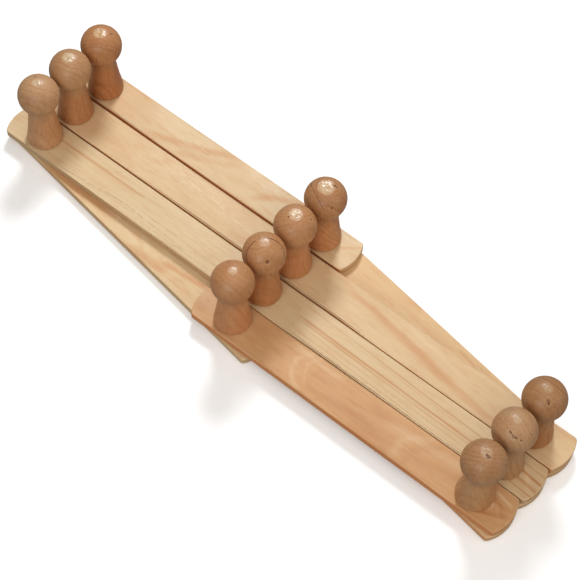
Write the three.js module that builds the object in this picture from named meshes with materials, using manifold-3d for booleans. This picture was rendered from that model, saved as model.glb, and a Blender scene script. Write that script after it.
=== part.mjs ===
// Expanding lattice peg rack (accordion wall rack), nearly folded shut.
// Two layers of flat wooden slats cross at ten pivots. A turned peg with a ball head
// stands on the front slat at every pivot. A pan head screw comes from the back, through a
// washer and a running hole in the back slat, and pulls the peg down on the front slat.
// Frame: origin under the middle of the lattice on the rear faces, +Y along the slats
// towards the top row of pegs, +X along the rows, +Z out of the wall, in millimetres.
import * as THREE from 'three';
import { mergeVertices } from 'three/addons/utils/BufferGeometryUtils.js';
import Module from 'manifold-3d';

// ---- driving dimensions ----
const PITCH = 200; // distance between neighbouring pivots along a slat
const FOLD = THREE.MathUtils.degToRad(4.272); // half the angle between front and back slats
const SLAT_W = 28.4; // width of the back slats
const FRONT_W = [29.2, 28.9, 28.9, 27.3]; // widths of front slats 1 to 4, as they were ripped
const SLAT_T = 6; // slat thickness
const END_REACH = 28.8; // from the last pivot to the tip of the rounded end
const END_R = 27.4; // radius of the rounded end
const CORNER_R = 2.6; // softened corner between end arc and long edge
const LAYER_GAP = 0.3; // running clearance between the two layers, and under each peg

const BORE_R = 2.4; // hole for the screw shank in slats and pegs
const POCKET_R = 6.3; // recess for washer and screw head in the rear face
const POCKET_D = 3.4; // depth of that recess

const SHANK_R = 2.0; // screw shank
const SCREW_HEAD_R = 4.0;
const SCREW_HEAD_Z0 = 0.4; // crown of the screw head, just inside the rear face
const SCREW_HEAD_Z1 = 2.0; // bearing face of the head
const SCREW_TIP_Z = 27.2; // end of the point
const WASHER_R = 5.5;
const WASHER_Z0 = 2.3;
const WASHER_Z1 = 3.1;

const PEG_HOLE_D = 16; // depth of the pilot hole in the peg's foot
const PEG_H = 63.5; // overall height of a peg
const BALL_R = 14.7;
const BALL_Z = 48.65; // height of the ball's centre over the peg's foot
const FOOT_R = 12.9; // widest radius of the foot
const NECK_R = 9.2; // where the flared stem meets the ball

const ROUND = 24; // facets around a peg
const POCKET_ROUND = 16; // facets around the recesses
const SMALL_ROUND = 12; // facets around screws, washers and holes

// ---- derived places ----
const S = PITCH * Math.sin(FOLD); // half the spacing of the pegs in a row
const H = PITCH * Math.cos(FOLD); // from the middle row to the outer rows
const FRONT_Z = SLAT_T + LAYER_GAP; // rear face of the front layer
const PEG_Z = FRONT_Z + SLAT_T + LAYER_GAP; // foot of the pegs

const wasm = await Module();
wasm.setup();

// ---- materials ----
const wood = (hex, roughness = 0.6) =>
  new THREE.MeshStandardMaterial({ color: hex, roughness, metalness: 0 });
const steel = (hex) => new THREE.MeshStandardMaterial({ color: hex, roughness: 0.35, metalness: 1 });

// ---- solids: three.js geometry in and out of the boolean kernel ----
function toSolid(geometry) {
  const g = geometry.index ? geometry.clone() : geometry.clone();
  g.deleteAttribute('normal');
  g.deleteAttribute('uv');
  const m = mergeVertices(g, 1e-4);
  return new wasm.Manifold(
    new wasm.Mesh({
      numProp: 3,
      vertProperties: new Float32Array(m.attributes.position.array),
      triVerts: new Uint32Array(m.index.array),
    }),
  );
}
function toGeometry(solid) {
  const m = solid.getMesh();
  const g = new THREE.BufferGeometry();
  g.setAttribute('position', new THREE.BufferAttribute(new Float32Array(m.vertProperties), 3));
  g.setIndex(new THREE.BufferAttribute(new Uint32Array(m.triVerts), 1));
  g.computeVertexNormals();
  return g;
}
function drill(radius, z0, z1, y, sides) {
  const g = new THREE.CylinderGeometry(radius, radius, z1 - z0, sides);
  g.rotateX(Math.PI / 2);
  g.translate(0, y, (z0 + z1) / 2);
  return toSolid(g);
}

// Outline of a slat about its own middle: straight edges, a shallow arc across each end
// and a small fillet at each corner. reach is the distance from the middle to the last pivot.
function slatOutline(reach, width) {
  const w = width / 2;
  const yc = reach + END_REACH - END_R; // centre of the end arc
  const fx = w - CORNER_R;
  const fy = yc + Math.sqrt((END_R - CORNER_R) ** 2 - fx ** 2);
  const turn = Math.atan2(fy - yc, fx); // direction in which the fillet runs into the arc
  const half = []; // one end, from the right edge to the left edge
  for (let i = 0; i <= 3; i++) {
    const a = (turn * i) / 3;
    half.push([fx + CORNER_R * Math.cos(a), fy + CORNER_R * Math.sin(a)]);
  }
  for (let i = 1; i < 6; i++) {
    const a = turn + ((Math.PI - 2 * turn) * i) / 6;
    half.push([END_R * Math.cos(a), yc + END_R * Math.sin(a)]);
  }
  for (let i = 3; i >= 0; i--) {
    const a = (turn * i) / 3;
    half.push([-fx - CORNER_R * Math.cos(a), fy + CORNER_R * Math.sin(a)]);
  }
  const all = half.concat(half.map(([x, y]) => [-x, -y]));
  return new THREE.Shape(all.map(([x, y]) => new THREE.Vector2(x, y)));
}

// A slat with a hole at every pivot, lying from z = 0 to z = SLAT_T.
// Back slats also have a recess around each hole in their rear face.
function slatGeometry(pivots, width, recessed) {
  const reach = Math.max(...pivots);
  let solid = toSolid(
    new THREE.ExtrudeGeometry(slatOutline(reach, width), { depth: SLAT_T, bevelEnabled: false }),
  );
  for (const y of pivots) {
    solid = solid.subtract(drill(BORE_R, -1, SLAT_T + 1, y, SMALL_ROUND));
    if (recessed) solid = solid.subtract(drill(POCKET_R, -1, POCKET_D, y, POCKET_ROUND));
  }
  return toGeometry(solid);
}

function turned(profile, sides) {
  const g = new THREE.LatheGeometry(
    profile.map(([r, z]) => new THREE.Vector2(r, z)),
    sides,
  );
  g.rotateX(Math.PI / 2);
  return g;
}

// Turned peg standing on z = 0: rounded foot, flared stem, narrow neck, ball head.
function pegGeometry() {
  const p = [
    [0, PEG_HOLE_D],
    [BORE_R, PEG_HOLE_D],
    [BORE_R, 0],
    [FOOT_R - 1.0, 0],
    [FOOT_R, 2.6],
    [FOOT_R - 0.9, 10],
    [FOOT_R - 2.35, 20],
    [NECK_R + 0.35, 30],
  ];
  const start = -Math.acos(NECK_R / BALL_R); // the ball's surface at the neck
  for (let i = 0; i <= 8; i++) {
    const a = start + ((Math.PI / 2 - start) * i) / 9;
    p.push([BALL_R * Math.cos(a), BALL_Z + BALL_R * Math.sin(a)]);
  }
  p.push([0, PEG_H]);
  return turned(p, ROUND);
}

// Pan head wood screw, crown down at the rear face, point up in the peg.
function screwGeometry() {
  return turned(
    [
      [0, SCREW_HEAD_Z0],
      [SCREW_HEAD_R * 0.7, SCREW_HEAD_Z0 + 0.1],
      [SCREW_HEAD_R, SCREW_HEAD_Z0 + 0.8],
      [SCREW_HEAD_R, SCREW_HEAD_Z1],
      [SHANK_R, SCREW_HEAD_Z1],
      [SHANK_R, SCREW_TIP_Z - 4],
      [0, SCREW_TIP_Z],
    ],
    SMALL_ROUND,
  );
}

function washerGeometry() {
  const p = [
    [BORE_R, WASHER_Z0],
    [WASHER_R, WASHER_Z0],
    [WASHER_R, WASHER_Z1],
    [BORE_R, WASHER_Z1],
    [BORE_R, WASHER_Z0],
  ];
  return turned(p, SMALL_ROUND);
}

// ---- assembly ----
const group = new THREE.Group();

function add(parent, name, geometry, material, x, y, z) {
  const mesh = new THREE.Mesh(geometry, material);
  mesh.name = name;
  mesh.position.set(x, y, z);
  parent.add(mesh);
}

const LONG = [PITCH, 0, -PITCH];
const SHORT = [PITCH / 2, -PITCH / 2];
const pegWood = wood(0xb98a5e, 0.5);
const screwSteel = steel(0xb9b7ae);
const washerSteel = steel(0xc4c2ba);

// Front slats lean to the left at the top. Each carries the pegs, screws and washers of its
// pivots, listed from its top end to its bottom end.
const frontSlats = [
  { name: 'front_slat_1_short', at: [-2.5 * S, -H / 2], pivots: SHORT, row: ['middle_1', 'bottom_1'], tone: 0xc99a68 },
  { name: 'front_slat_2_long', at: [-S, 0], pivots: LONG, row: ['top_1', 'middle_2', 'bottom_2'], tone: 0xdfc49c },
  { name: 'front_slat_3_long', at: [S, 0], pivots: LONG, row: ['top_2', 'middle_3', 'bottom_3'], tone: 0xd9bb92 },
  { name: 'front_slat_4_short', at: [2.5 * S, H / 2], pivots: SHORT, row: ['top_3', 'middle_4'], tone: 0xdcb995 },
];
// Back slats lean to the right at the top and turn on the screws of the front layer.
const backSlats = [
  { name: 'back_slat_1_short', at: [-2.5 * S, H / 2], pivots: SHORT, tone: 0xd8b287 },
  { name: 'back_slat_2_long', at: [-S, 0], pivots: LONG, tone: 0xd6b488 },
  { name: 'back_slat_3_long', at: [S, 0], pivots: LONG, tone: 0xd4b084 },
  { name: 'back_slat_4_short', at: [2.5 * S, -H / 2], pivots: SHORT, tone: 0xdab98b },
];

frontSlats.forEach((slat, k) => {
  const g = new THREE.Group();
  g.position.set(slat.at[0], slat.at[1], 0);
  g.rotation.z = FOLD;
  add(g, slat.name, slatGeometry(slat.pivots, FRONT_W[k], false), wood(slat.tone), 0, 0, FRONT_Z);
  slat.pivots.forEach((y, i) => {
    add(g, `peg_${slat.row[i]}`, pegGeometry(), pegWood, 0, y, PEG_Z);
    add(g, `screw_${slat.row[i]}`, screwGeometry(), screwSteel, 0, y, 0);
    add(g, `washer_${slat.row[i]}`, washerGeometry(), washerSteel, 0, y, 0);
  });
  group.add(g);
});
for (const slat of backSlats) {
  const g = new THREE.Group();
  g.position.set(slat.at[0], slat.at[1], 0);
  g.rotation.z = -FOLD;
  add(g, slat.name, slatGeometry(slat.pivots, SLAT_W, true), wood(slat.tone), 0, 0, 0);
  group.add(g);
}

export default group;
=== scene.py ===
import math

import bmesh
import bpy
import numpy as np
from mathutils import Matrix, Vector
from mathutils.geometry import delaunay_2d_cdt


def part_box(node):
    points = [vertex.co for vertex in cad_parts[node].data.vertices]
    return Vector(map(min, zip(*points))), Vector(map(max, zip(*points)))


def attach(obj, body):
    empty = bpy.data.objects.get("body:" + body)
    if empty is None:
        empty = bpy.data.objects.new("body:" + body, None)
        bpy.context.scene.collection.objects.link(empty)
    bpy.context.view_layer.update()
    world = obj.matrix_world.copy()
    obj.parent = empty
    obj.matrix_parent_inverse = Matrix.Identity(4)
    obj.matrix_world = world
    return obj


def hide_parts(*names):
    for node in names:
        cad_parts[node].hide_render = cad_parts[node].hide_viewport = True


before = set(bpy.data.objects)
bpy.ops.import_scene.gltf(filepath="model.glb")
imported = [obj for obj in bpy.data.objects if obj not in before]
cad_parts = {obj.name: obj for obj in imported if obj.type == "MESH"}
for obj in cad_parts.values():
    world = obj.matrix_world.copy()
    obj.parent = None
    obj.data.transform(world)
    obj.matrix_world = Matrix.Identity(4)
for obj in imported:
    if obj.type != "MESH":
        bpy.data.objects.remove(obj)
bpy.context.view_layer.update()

MM = 0.001
scene = bpy.context.scene

# ------------------------------------------------------------------ camera
cam_data = bpy.data.cameras.new("camera")
cam_data.sensor_width = 36.0
cam_data.lens = 106.92
cam_data.clip_start = 0.05
cam_data.clip_end = 30.0
cam = bpy.data.objects.new("camera", cam_data)
scene.collection.objects.link(cam)
cam.matrix_world = Matrix(
    (
        (0.681680, 0.626875, -0.377280, -0.442838),
        (-0.731260, 0.600588, -0.323346, -0.390454),
        (0.023892, 0.496308, 0.867818, 1.026607),
        (0.0, 0.0, 0.0, 1.0),
    )
)
scene.camera = cam

# ------------------------------------------------------------------ places, from the frame
FRONT = {
    "front_slat_1": ("front_slat_1_short", ["middle_1", "bottom_1"]),
    "front_slat_2": ("front_slat_2_long", ["top_1", "middle_2", "bottom_2"]),
    "front_slat_3": ("front_slat_3_long", ["top_2", "middle_3", "bottom_3"]),
    "front_slat_4": ("front_slat_4_short", ["top_3", "middle_4"]),
}
BACK = {
    "back_slat_1": ("back_slat_1_short", ["top_1", "middle_1"]),
    "back_slat_2": ("back_slat_2_long", ["top_2", "middle_2", "bottom_1"]),
    "back_slat_3": ("back_slat_3_long", ["top_3", "middle_3", "bottom_2"]),
    "back_slat_4": ("back_slat_4_short", ["middle_4", "bottom_3"]),
}


def centre(node):
    lo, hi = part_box(node)
    return (lo + hi) / 2


def pivot(name):
    c = centre("screw_" + name)
    return Vector((c.x, c.y, 0.0))


def slat_matrix(node, pivots):
    """Middle of the slat on its rear face, +Y towards its top end."""
    top, bottom = pivot(pivots[0]), pivot(pivots[-1])
    along = (top - bottom).normalized()
    mid = (top + bottom) / 2
    lo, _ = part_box(node)
    m = Matrix.Identity(4)
    m[0][0], m[1][0] = along.y, -along.x
    m[0][1], m[1][1] = along.x, along.y
    m[0][3], m[1][3], m[2][3] = mid.x, mid.y, lo.z
    return m, (top - bottom).length / 2


# ------------------------------------------------------------------ mesh helpers
def wave(seed, n=6, low=0.3, high=3.0):
    """A smooth 1-D wobble of about unit size, the same each run."""
    rng = np.random.default_rng(seed)
    f = rng.uniform(low, high, n)
    p = rng.uniform(0, 2 * math.pi, n)
    a = rng.uniform(0.4, 1.0, n)
    a /= np.sqrt((a**2).sum() / 2)
    return lambda x: (a[:, None] * np.sin(f[:, None] * np.atleast_1d(x)[None] + p[:, None])).sum(0)


def wave2(seed, n=9, low=0.02, high=0.12):
    rng = np.random.default_rng(seed)
    fx = rng.uniform(-high, high, n)
    fy = rng.uniform(-low, low, n)
    p = rng.uniform(0, 2 * math.pi, n)
    return lambda x, y: sum(np.sin(fx[i] * x + fy[i] * y + p[i]) for i in range(n)) / math.sqrt(n / 2)


def make_object(name, verts_mm, faces, matrix=None, angle=38.0, attrs=None):
    me = bpy.data.meshes.new(name)
    me.from_pydata([tuple(v) for v in (np.asarray(verts_mm) * MM)], [], faces)
    me.validate()
    bm = bmesh.new()
    bm.from_mesh(me)
    bmesh.ops.recalc_face_normals(bm, faces=bm.faces)
    if bm.calc_volume(signed=True) < 0:
        bmesh.ops.reverse_faces(bm, faces=bm.faces)
    bm.to_mesh(me)
    bm.free()
    me.polygons.foreach_set("use_smooth", [True] * len(me.polygons))
    me.set_sharp_from_angle(angle=math.radians(angle))
    for key, values in (attrs or {}).items():
        a = me.attributes.new(key, "FLOAT", "POINT")
        a.data.foreach_set("value", np.asarray(values, np.float32))
    ob = bpy.data.objects.new(name, me)
    scene.collection.objects.link(ob)
    if matrix is not None:
        ob.matrix_world = matrix
    return ob


def rings_to_faces(rings, closed_ends=()):
    """Quads between successive rings of vertex indices of equal length."""
    faces = []
    for a, b in zip(rings[:-1], rings[1:]):
        n = len(a)
        for i in range(n):
            j = (i + 1) % n
            faces.append((a[i], a[j], b[j], b[i]))
    return faces


def lathe(profile, segs, twist=None):
    """Vertices and faces of a turned body; profile is a list of (r, z) in mm, from axis to axis
    or closed when its first and last points agree. twist(angle, k, r, z) may move a point."""
    closed = abs(profile[0][0] - profile[-1][0]) < 1e-9 and abs(profile[0][1] - profile[-1][1]) < 1e-9
    if closed:
        profile = profile[:-1]
    verts, rings = [], []
    for k, (r, z) in enumerate(profile):
        if r < 1e-6:
            rings.append([len(verts)])
            verts.append((0.0, 0.0, z))
            continue
        ring = []
        for i in range(segs):
            a = 2 * math.pi * i / segs
            rr, zz = (r, z) if twist is None else twist(a, k, r, z)
            ring.append(len(verts))
            verts.append((rr * math.cos(a), rr * math.sin(a), zz))
        rings.append(ring)
    faces = []
    pairs = list(zip(rings[:-1], rings[1:]))
    if closed:
        pairs.append((rings[-1], rings[0]))
    for a, b in pairs:
        for i in range(segs):
            j = (i + 1) % segs
            if len(a) == 1 and len(b) == 1:
                continue
            if len(a) == 1:
                faces.append((a[0], b[j], b[i]))
            elif len(b) == 1:
                faces.append((a[i], a[j], b[0]))
            else:
                faces.append((a[i], a[j], b[j], b[i]))
    return verts, faces


# ------------------------------------------------------------------ slats
SLAT_W, SLAT_T = 28.4, 6.0
FRONT_W = {"front_slat_1": 29.2, "front_slat_2": 28.9, "front_slat_3": 28.9, "front_slat_4": 27.3}
END_REACH, END_R, CORNER_R = 28.8, 27.4, 2.6
# how far the long edges stray from a straight line, in mm of wood taken off: at the low end,
# at the high end, and between which two places along the slat it changes
LEFT_TRIM = {"front_slat_2": (0.55, 0.0, -70.0, -10.0), "front_slat_3": (-0.20, 0.42, -90.0, -40.0), "front_slat_4": (0.15, 0.60, 30.0, 85.0)}
RIGHT_TRIM = {"front_slat_1": (-0.65, -0.25, -40.0, 60.0)}


def slat_edge_points(reach, width, step=3.5):
    """Points round the outline as (centre x, centre y, radius, direction x, direction y), so
    that an inset of d is centre + (radius - d) * direction."""
    w = width / 2
    yc = reach + END_REACH - END_R
    fx = w - CORNER_R
    fy = yc + math.sqrt((END_R - CORNER_R) ** 2 - fx**2)
    turn = math.atan2(fy - yc, fx)
    pts = []
    for end in (1, -1):
        n = max(2, int(round(2 * fy / step)))
        # right edge on the way up (left edge on the way down, by symmetry)
        for i in range(n):
            y = -fy + 2 * fy * i / n
            pts.append((end * fx, end * y, CORNER_R, end * 1.0, 0.0))
        for i in range(7):
            a = turn * i / 6
            pts.append((end * fx, end * fy, CORNER_R, end * math.cos(a), end * math.sin(a)))
        for i in range(1, 20):
            a = turn + (math.pi - 2 * turn) * i / 20
            pts.append((0.0, end * yc, END_R, end * math.cos(a), end * math.sin(a)))
        for i in range(7):
            a = math.pi - turn + turn * i / 6
            pts.append((-end * fx, end * fy, CORNER_R, end * math.cos(a), end * math.sin(a)))
    # drop doubled points
    out = []
    for p in pts:
        q = (p[0] + p[2] * p[3], p[1] + p[2] * p[4])
        if not out or math.hypot(q[0] - out[-1][1][0], q[1] - out[-1][1][1]) > 1e-4:
            out.append((p, q))
    if math.hypot(out[0][1][0] - out[-1][1][0], out[0][1][1] - out[-1][1][1]) < 1e-4:
        out.pop()
    return [o[0] for o in out]


def slat(name, body, node, pivots, seed, recessed):
    matrix, half = slat_matrix(node, pivots)
    half_mm = half / MM
    reach = half_mm
    ys = [half_mm, -half_mm] if len(pivots) == 2 else [half_mm, 0.0, -half_mm]
    width = FRONT_W.get(body, SLAT_W)
    pts = slat_edge_points(reach, width)
    n = len(pts)
    c = np.array([[p[0], p[1]] for p in pts])
    r = np.array([p[2] for p in pts])
    d = np.array([[p[3], p[4]] for p in pts])
    run = np.concatenate([[0], np.cumsum(np.hypot(*(np.diff(c + r[:, None] * d, axis=0).T)))])
    rng = np.random.default_rng(seed)
    for sign, table in ((-1, LEFT_TRIM), (1, RIGHT_TRIM)):
        if body in table:
            low, high, y0, y1 = table[body]
            t = np.clip((c[:, 1] - y0) / (y1 - y0), 0, 1)
            cut = low + (high - low) * t * t * (3 - 2 * t)
            r = r - cut * np.clip(sign * d[:, 0], 0, 1) ** 2

    def ease(k):
        e = 0.55 + 0.05 * wave(seed * 7 + k, low=0.01, high=0.06)(run)
        e += 0.2 * (np.abs(d[:, 1]) > 0.02)  # ends and corners are sanded rounder
        for _ in range(3):  # small dings along the edge
            s0, wd, dp = rng.uniform(0, run[-1]), rng.uniform(1.5, 3.0), rng.uniform(0.06, 0.18)
            e += dp * np.exp(-(((run - s0) / wd) ** 2))
        return np.clip(e, 0.42, 1.0)

    verts, edge = [], []
    rings = []

    def ring(inset, z, mark):
        idx = list(range(len(verts), len(verts) + n))
        p = c + (r - inset)[:, None] * d
        zz = np.broadcast_to(np.asarray(z, float), (n,))
        for i in range(n):
            verts.append((p[i, 0], p[i, 1], zz[i]))
            edge.append(mark)
        rings.append(idx)
        return idx

    lo, hi = ease(1), ease(2)
    side = 0.02 * wave(seed * 7 + 3, low=0.02, high=0.08)(run) * (np.abs(d[:, 1]) < 0.02)
    steps = (0, 18, 36, 54, 72, 90)
    bottom_ring = ring(lo + 0.35, 0.0, 0.35)
    for a in reversed(steps):
        s = math.radians(a)
        ring(lo * (1 - math.cos(s)), lo * (1 - math.sin(s)), 1.0 if 10 < a < 80 else 0.75)
    for f in (0.33, 0.66):
        ring(side + 0.02, lo + (SLAT_T - lo - hi) * f, 0.15)
    for a in steps:
        s = math.radians(a)
        ring(hi * (1 - math.cos(s)), SLAT_T - hi * (1 - math.sin(s)), 1.0 if 10 < a < 80 else 0.75)
    top_ring = ring(hi + 0.35, SLAT_T, 0.35)
    faces = rings_to_faces(rings)

    # holes
    segs = 48
    if recessed:
        prof = [(6.55, 0.0), (6.4, 0.06), (6.3, 0.25), (6.3, 3.15), (6.2, 3.4), (2.6, 3.4), (2.4, 3.6), (2.4, 5.8), (2.6, 6.0)]
    else:
        prof = [(2.6, 0.0), (2.4, 0.2), (2.4, 5.8), (2.6, 6.0)]
    bottom_holes, top_holes = [], []
    for y in ys:
        hr = []
        for rr, z in prof:
            idx = list(range(len(verts), len(verts) + segs))
            for i in range(segs):
                a = -2 * math.pi * i / segs
                verts.append((rr * math.cos(a), y + rr * math.sin(a), z))
                edge.append(0.6 if z < 0.3 else 0.0)
            hr.append(idx)
        faces += rings_to_faces(hr)
        bottom_holes.append((y, prof[0][0], hr[0]))
        top_holes.append((y, prof[-1][0], hr[-1]))

    # flat faces: the boundary rings and a light grid, triangulated
    bend = wave2(seed * 7 + 5)

    def cap(outer, holes, z):
        pool = list(outer) + [i for h in holes for i in h[2]]
        loops = [outer] + [h[2] for h in holes]
        at = {v: i for i, v in enumerate(pool)}
        edges = []
        for loop in loops:
            for i in range(len(loop)):
                edges.append((at[loop[i]], at[loop[(i + 1) % len(loop)]]))
        coords = [Vector((verts[v][0], verts[v][1])) for v in pool]
        tip = reach + END_REACH
        yc = reach + END_REACH - END_R
        gy = np.arange(-tip + 3, tip - 2, 4.0)
        gx = np.linspace(-width / 2 + 3.2, width / 2 - 3.2, 6)
        for k, y in enumerate(gy):
            for x in gx:
                yy = y + (2.0 if int(round((x - gx[0]) / (gx[1] - gx[0]))) % 2 else 0.0)
                if abs(yy) > yc and math.hypot(x, abs(yy) - yc) > END_R - 2.6:
                    continue
                if any(math.hypot(x, yy - h[0]) < h[1] + 1.6 for h in holes):
                    continue
                pool.append(len(verts))
                coords.append(Vector((x, yy)))
                lift = 0.05 * float(bend(x, yy))
                verts.append((x, yy, z + (lift if z > 1 else -lift * 0.0)))
                edge.append(0.0)
        res = delaunay_2d_cdt(coords, edges, [], 0, 1e-6)
        back = []
        for k, o in enumerate(res[3]):
            back.append(pool[o[0]] if o else None)
        hole_sets = [set(h[2]) for h in holes]
        outer_set = set(outer)
        for f in res[2]:
            g = [back[i] for i in f]
            if any(v is None for v in g):
                continue
            if any(all(v in s for v in g) for s in hole_sets):
                continue
            faces.append(tuple(g))

    cap(bottom_ring, bottom_holes, 0.0)
    cap(top_ring, top_holes, SLAT_T)

    verts = np.array(verts)
    ob = make_object(name, verts, faces, matrix, attrs={"edge": edge})
    me = ob.data
    nrm = np.zeros(len(me.vertices) * 3)
    me.vertex_normals.foreach_get("vector", nrm)
    nrm = nrm.reshape(-1, 3)
    a = me.attributes.new("endgrain", "FLOAT", "POINT")
    a.data.foreach_set("value", (nrm[:, 1] ** 2).astype(np.float32))
    a = me.attributes.new("side", "FLOAT", "POINT")
    a.data.foreach_set("value", np.clip(1 - np.abs(nrm[:, 2]) - nrm[:, 1] ** 2, 0, 1).astype(np.float32))
    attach(ob, body)
    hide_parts(node)
    return ob


# ------------------------------------------------------------------ pegs
FOOT_R, NECK_R, BALL_R, BALL_Z, PEG_H = 12.9, 9.15, 14.7, 48.65, 63.45


def peg_profile(seed, crown):
    """Dense turned profile, from the pilot hole's end to the crown. crown is the radius of the
    small flat left at the pole, in mm, and how deep the groove round it is."""
    rng = np.random.default_rng(1000 + seed)
    foot = FOOT_R + rng.uniform(-0.12, 0.12)
    neck = NECK_R + rng.uniform(-0.25, 0.15)
    ball = BALL_R - rng.uniform(0.0, 0.08)
    bell = rng.uniform(1.30, 1.55)  # how soon the stem draws in above the foot
    lump = wave(2000 + seed, n=5, low=0.25, high=0.9)
    p = [(0.0, 16.4), (2.2, 15.2), (2.4, 14.6), (2.4, 0.5), (2.8, 0.0), (5.0, 0.0), (8.0, 0.0), (10.6, 0.0)]
    # rounded lower edge of the foot
    er = 1.7
    for i in range(1, 9):
        a = -math.pi / 2 + (math.pi / 2) * i / 8
        p.append((foot - er + er * math.cos(a), 1.5 * (1 + math.sin(a))))
    # a small cove joins the stem to the ball: radius cove, touching the ball from outside
    cove = rng.uniform(1.4, 2.2)
    zn = BALL_Z - math.sqrt((ball + cove) ** 2 - (neck + cove) ** 2)  # height of the cove's centre
    z0 = 1.5
    for i in range(1, 41):
        t = i / 40
        z = z0 + (zn - z0) * t
        base = foot + (neck - foot) * (1 - (1 - t) ** bell)
        shoulder = 0.22 * math.exp(-(((t - 0.12) / 0.12) ** 2))
        r = base + shoulder + 0.05 * float(lump(z)[0]) * min(1, 6 * t, 6 * (1 - t))
        p.append((r, z))
    cx = neck + cove
    touch = math.atan2(zn - BALL_Z, cx)  # direction from the ball's centre to the cove's centre
    end = math.pi + touch  # direction from the cove's centre back to the ball
    for i in range(1, 8):
        a = math.pi - (math.pi - end) * i / 8
        p.append((cx + cove * math.cos(a), zn + cove * math.sin(a)))
    n = 58
    a0, a1 = touch, math.acos(crown[0] / ball)
    for i in range(n + 1):
        a = a0 + (a1 - a0) * i / n
        flat = 0.05 * math.sin(3 * a + seed) * math.sin(2 * (a - a0))
        p.append(((ball + flat) * math.cos(a), BALL_Z + (ball + flat) * math.sin(a)))
    # crown: a small flat with a rubbed rim, sometimes with a shallow ring round it
    rc, zc = p[-1]
    deep = crown[1]
    for t, dz in ((0.95, -0.3), (0.90, -0.75), (0.84, -1.0), (0.77, -0.8), (0.68, -0.35), (0.58, -0.1), (0.46, 0.0), (0.34, 0.0), (0.22, 0.0), (0.1, 0.0)):
        rr = rc * t
        z = zc + 0.45 * (math.sqrt(ball**2 - rr**2) - math.sqrt(ball**2 - rc**2)) + dz * deep
        p.append((rr, z))
    p.append((0.0, zc + 0.45 * (ball - math.sqrt(ball**2 - rc**2))))
    return p


def peg(name, body, node, seed, pits=(), crown=(4.0, 0.04), torn=0.03, turn=0.0):
    prof = peg_profile(seed, crown)
    segs = 112
    rng = np.random.default_rng(3000 + seed)
    ov = rng.uniform(0.0, 0.06)
    op = rng.uniform(0, math.pi)

    def shape(a, k, r, z):
        return r + ov * math.cos(2 * (a - op)) * min(1.0, z / 8.0) * min(1.0, r / 8.0), z

    verts, faces = lathe(prof, segs, shape)
    v = np.array(verts)
    pit = np.zeros(len(v))
    centre_ball = np.array([0, 0, BALL_Z])
    for az, el, size, depth in pits:
        # a pit on the ball at azimuth az and elevation el, in degrees
        dirn = np.array([math.cos(math.radians(el)) * math.cos(math.radians(az)), math.cos(math.radians(el)) * math.sin(math.radians(az)), math.sin(math.radians(el))])
        size *= 1.35
        at = centre_ball + BALL_R * dirn
        dist = np.linalg.norm(v - at, axis=1)
        g = np.exp(-((dist / size) ** 2))
        v -= (g * depth)[:, None] * dirn[None]
        pit = np.maximum(pit, g * min(1.0, depth / 0.3))
    # the flat at the pole is slightly torn and uneven
    rr = np.hypot(v[:, 0], v[:, 1])
    top = (v[:, 2] > BALL_Z + 5) * np.clip(1 - rr / (crown[0] * 0.95), 0, 1) ** 0.5
    rough = wave2(4000 + seed, n=7, low=1.1, high=2.2)
    v[:, 2] += torn * top * np.array([float(rough(a, b)) for a, b in v[:, :2]])
    lo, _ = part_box(node)
    c = centre(node)
    m = Matrix.Translation((c.x, c.y, lo.z)) @ Matrix.Rotation(turn, 4, "Z")
    ob = make_object(name, v, faces, m, angle=60, attrs={"pit": pit, "crown": np.clip(1 - np.hypot(v[:, 0], v[:, 1]) / (crown[0] + 0.6), 0, 1) * (v[:, 2] > BALL_Z + 5)})
    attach(ob, body)
    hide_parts(node)
    return ob


# ------------------------------------------------------------------ screws and washers
def cross_cutter():
    """Tapered cross of a driver recess, its mouth at z = 0 and its point up."""
    bm = bmesh.new()
    for k in range(2):
        w0, w1, t0, t1, d = 2.35, 0.9, 0.5, 0.36, 1.25
        vs = []
        for z, w, t in ((-0.4, w0 + 0.3, t0 + 0.04), (d, w1, t1)):
            for sx, sy in ((-1, -1), (1, -1), (1, 1), (-1, 1)):
                x, y = sx * w, sy * t
                if k:
                    x, y = -y, x
                vs.append(bm.verts.new((x, y, z)))
        a, b = vs[:4], vs[4:]
        bm.faces.new(list(reversed(a)))
        bm.faces.new(b)
        for i in range(4):
            j = (i + 1) % 4
            bm.faces.new((a[i], a[j], b[j], b[i]))
    me = bpy.data.meshes.new("cutter")
    bm.to_mesh(me)
    bm.free()
    return bpy.data.objects.new("cutter", me)


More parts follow.
